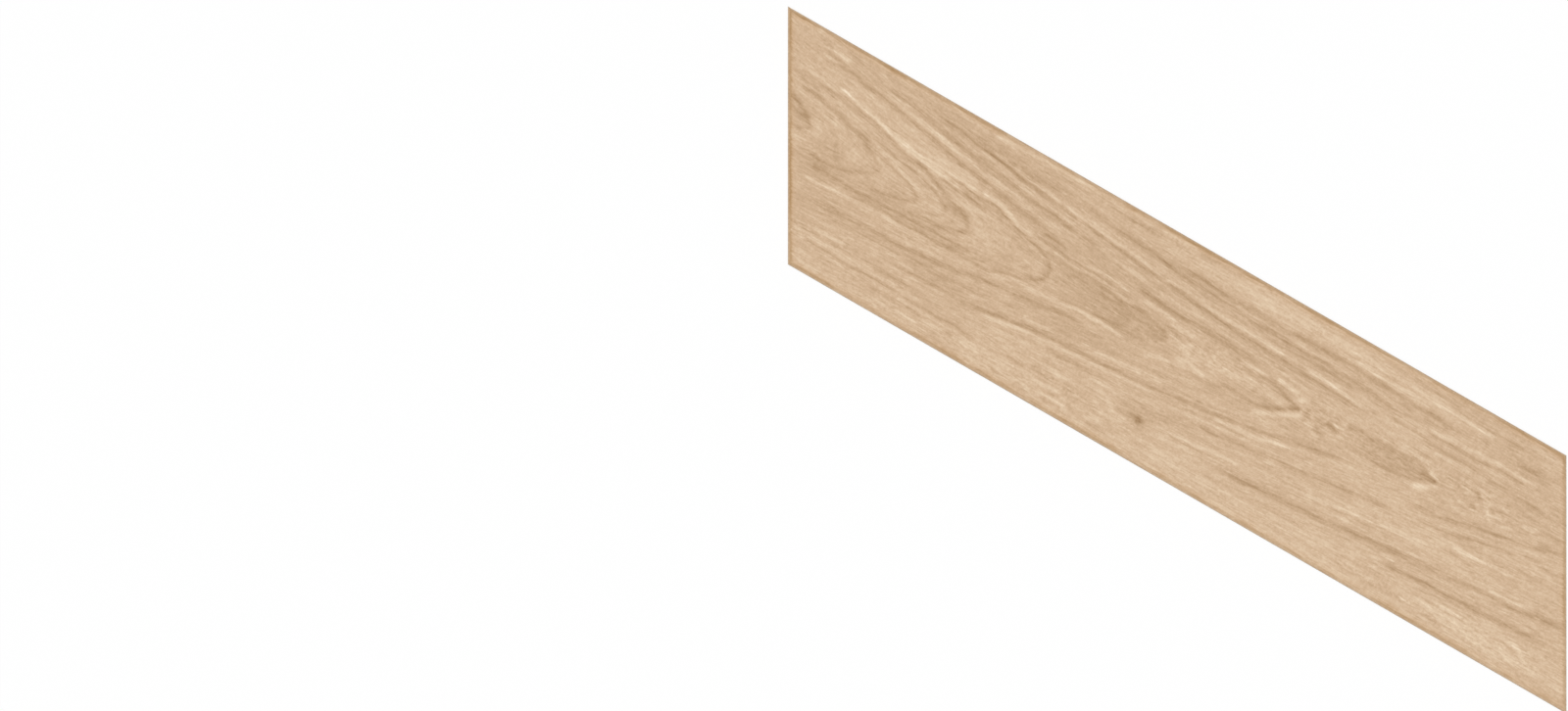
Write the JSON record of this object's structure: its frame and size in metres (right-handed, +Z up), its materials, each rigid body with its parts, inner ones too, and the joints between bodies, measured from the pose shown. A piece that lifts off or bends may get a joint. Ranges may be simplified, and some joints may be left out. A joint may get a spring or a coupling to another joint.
{
  "type": "porcelain chevron floor tile",
  "caption": "Flat wood-look porcelain plank tile with slanted parallel ends, ground arris and keyed back, bedded in adhesive to pave a chevron floor or wall.",
  "frame": {"origin": "middle of the tile's back, on the plane of the raised ribs that it beds on", "axes": "+X along the long edges, +Y across the board, +Z up out of the printed face"},
  "size_m": [0.4602, 0.1, 0.009],
  "materials": {
    "porcelain": "matte"
  },
  "bodies": {
    "root": {"chevron_tile": "porcelain"}
  },
  "joints": []
}
